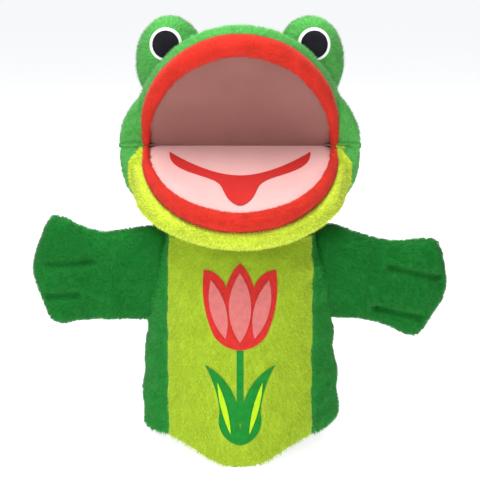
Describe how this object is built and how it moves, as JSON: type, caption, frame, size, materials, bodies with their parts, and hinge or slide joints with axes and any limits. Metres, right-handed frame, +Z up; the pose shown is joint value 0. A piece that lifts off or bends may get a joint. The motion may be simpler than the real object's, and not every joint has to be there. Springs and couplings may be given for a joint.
{
  "type": "hand puppet",
  "caption": "Plush frog hand puppet with a wide folding mouth, padded lips, raised eye mounds, jointed arms and an open sleeve for the hand.",
  "frame": {"origin": "centre of the sleeve's hem, on the plane it stands on", "axes": "+Z up along the sleeve towards the head, -Y towards the puppet's front, +X towards the puppet's own left"},
  "size_m": [0.2327, 0.1077, 0.2355],
  "materials": {
    "green_plush": "short-pile plush, mid green",
    "dark_green_plush": "short-pile plush, deep green",
    "lime_plush": "short-pile plush, lime green",
    "chin_plush": "short-pile plush, yellow green",
    "red_plush": "short-pile plush, orange red",
    "palate_cloth": "smooth knitted cloth, pale pink",
    "lining_cloth": "thin woven lining",
    "red_print": "printed film on cloth, red",
    "pink_print": "printed film on cloth, pink",
    "green_print": "printed film on cloth, green",
    "lime_print": "printed film on cloth, lime",
    "white_thread": "satin-stitched thread, white",
    "black_thread": "satin-stitched thread, black",
    "seam_thread": "stitched seam, green thread",
    "fibre_filling": "loose polyester fibre",
    "stiff_board": "stiff felted board"
  },
  "bodies": {
    "sleeve": {"back_panel": "dark_green_plush", "back_stripe_prints": "lime_print", "belly_panel": "lime_plush", "flower_print": "red_print", "hem_facing": "lining_cloth", "leaf_vein_print": "lime_print", "left_shoulder_seam": "seam_thread", "left_side_panel": "dark_green_plush", "petal_print": "pink_print", "right_shoulder_seam": "seam_thread", "right_side_panel": "dark_green_plush", "sleeve_lining": "lining_cloth", "stem_print": "green_print"},
    "neck": {"neck_band": "green_plush"},
    "head": {"head_back_padding": "fibre_filling", "head_back_panel": "green_plush", "head_stripe_prints": "lime_print", "palate_fold_strip": "palate_cloth"},
    "upper_jaw": {"finger_pocket": "lining_cloth", "left_eye_filling": "fibre_filling", "left_eye_mound": "green_plush", "left_eye_pupil": "black_thread", "left_eye_white": "white_thread", "right_eye_filling": "fibre_filling", "right_eye_mound": "green_plush", "right_eye_pupil": "black_thread", "right_eye_white": "white_thread", "snout_filling": "fibre_filling", "snout_panel": "green_plush", "upper_lip": "red_plush", "upper_lip_cord": "fibre_filling", "upper_palate_board": "stiff_board", "upper_palate_lining": "palate_cloth"},
    "lower_jaw": {"chin_filling": "fibre_filling", "chin_panel": "chin_plush", "lower_lip": "red_plush", "lower_lip_cord": "fibre_filling", "lower_palate_board": "stiff_board", "lower_palate_lining": "palate_cloth", "thumb_pocket": "lining_cloth", "tongue_print": "red_print"},
    "left_arm": {"left_arm_back_panel": "dark_green_plush", "left_arm_filling": "fibre_filling", "left_arm_front_panel": "dark_green_plush"},
    "left_paw": {"left_paw_back_panel": "dark_green_plush", "left_paw_filling": "fibre_filling", "left_paw_front_panel": "dark_green_plush", "left_toe_prints": "lime_print"},
    "right_arm": {"right_arm_back_panel": "dark_green_plush", "right_arm_filling": "fibre_filling", "right_arm_front_panel": "dark_green_plush"},
    "right_paw": {"right_paw_back_panel": "dark_green_plush", "right_paw_filling": "fibre_filling", "right_paw_front_panel": "dark_green_plush", "right_toe_prints": "lime_print"}
  },
  "joints": [
    {"name": "neck_turn", "type": "hinge", "parent": "sleeve", "child": "neck", "pos_m": [0, 0, 0.114], "axis": [0, 0, 1], "range_deg": [-25, 25]},
    {"name": "head_nod", "type": "hinge", "parent": "neck", "child": "head", "pos_m": [0, 0, 0.1185], "axis": [1, 0, 0], "range_deg": [-12, 12]},
    {"name": "upper_jaw_hinge", "type": "hinge", "parent": "head", "child": "upper_jaw", "pos_m": [0, 0.005, 0.1653], "axis": [1, 0, 0], "range_deg": [0, 45]},
    {"name": "lower_jaw_hinge", "type": "hinge", "parent": "head", "child": "lower_jaw", "pos_m": [0, 0.005, 0.1653], "axis": [1, 0, 0], "range_deg": [-36, 0]},
    {"name": "left_shoulder_hinge", "type": "hinge", "parent": "sleeve", "child": "left_arm", "pos_m": [0.057, 0, 0.0905], "axis": [-0.1305, 0, -0.9914], "range_deg": [-15, 60]},
    {"name": "left_wrist_hinge", "type": "hinge", "parent": "left_arm", "child": "left_paw", "pos_m": [0.08456, 0, 0.08687], "axis": [-0.1305, 0, -0.9914], "range_deg": [-10, 50]},
    {"name": "right_shoulder_hinge", "type": "hinge", "parent": "sleeve", "child": "right_arm", "pos_m": [-0.057, 0, 0.0915], "axis": [0.0175, 0, 0.9998], "range_deg": [-15, 60]},
    {"name": "right_wrist_hinge", "type": "hinge", "parent": "right_arm", "child": "right_paw", "pos_m": [-0.0848, 0, 0.09198], "axis": [0.0175, 0, 0.9998], "range_deg": [-10, 50]}
  ]
}
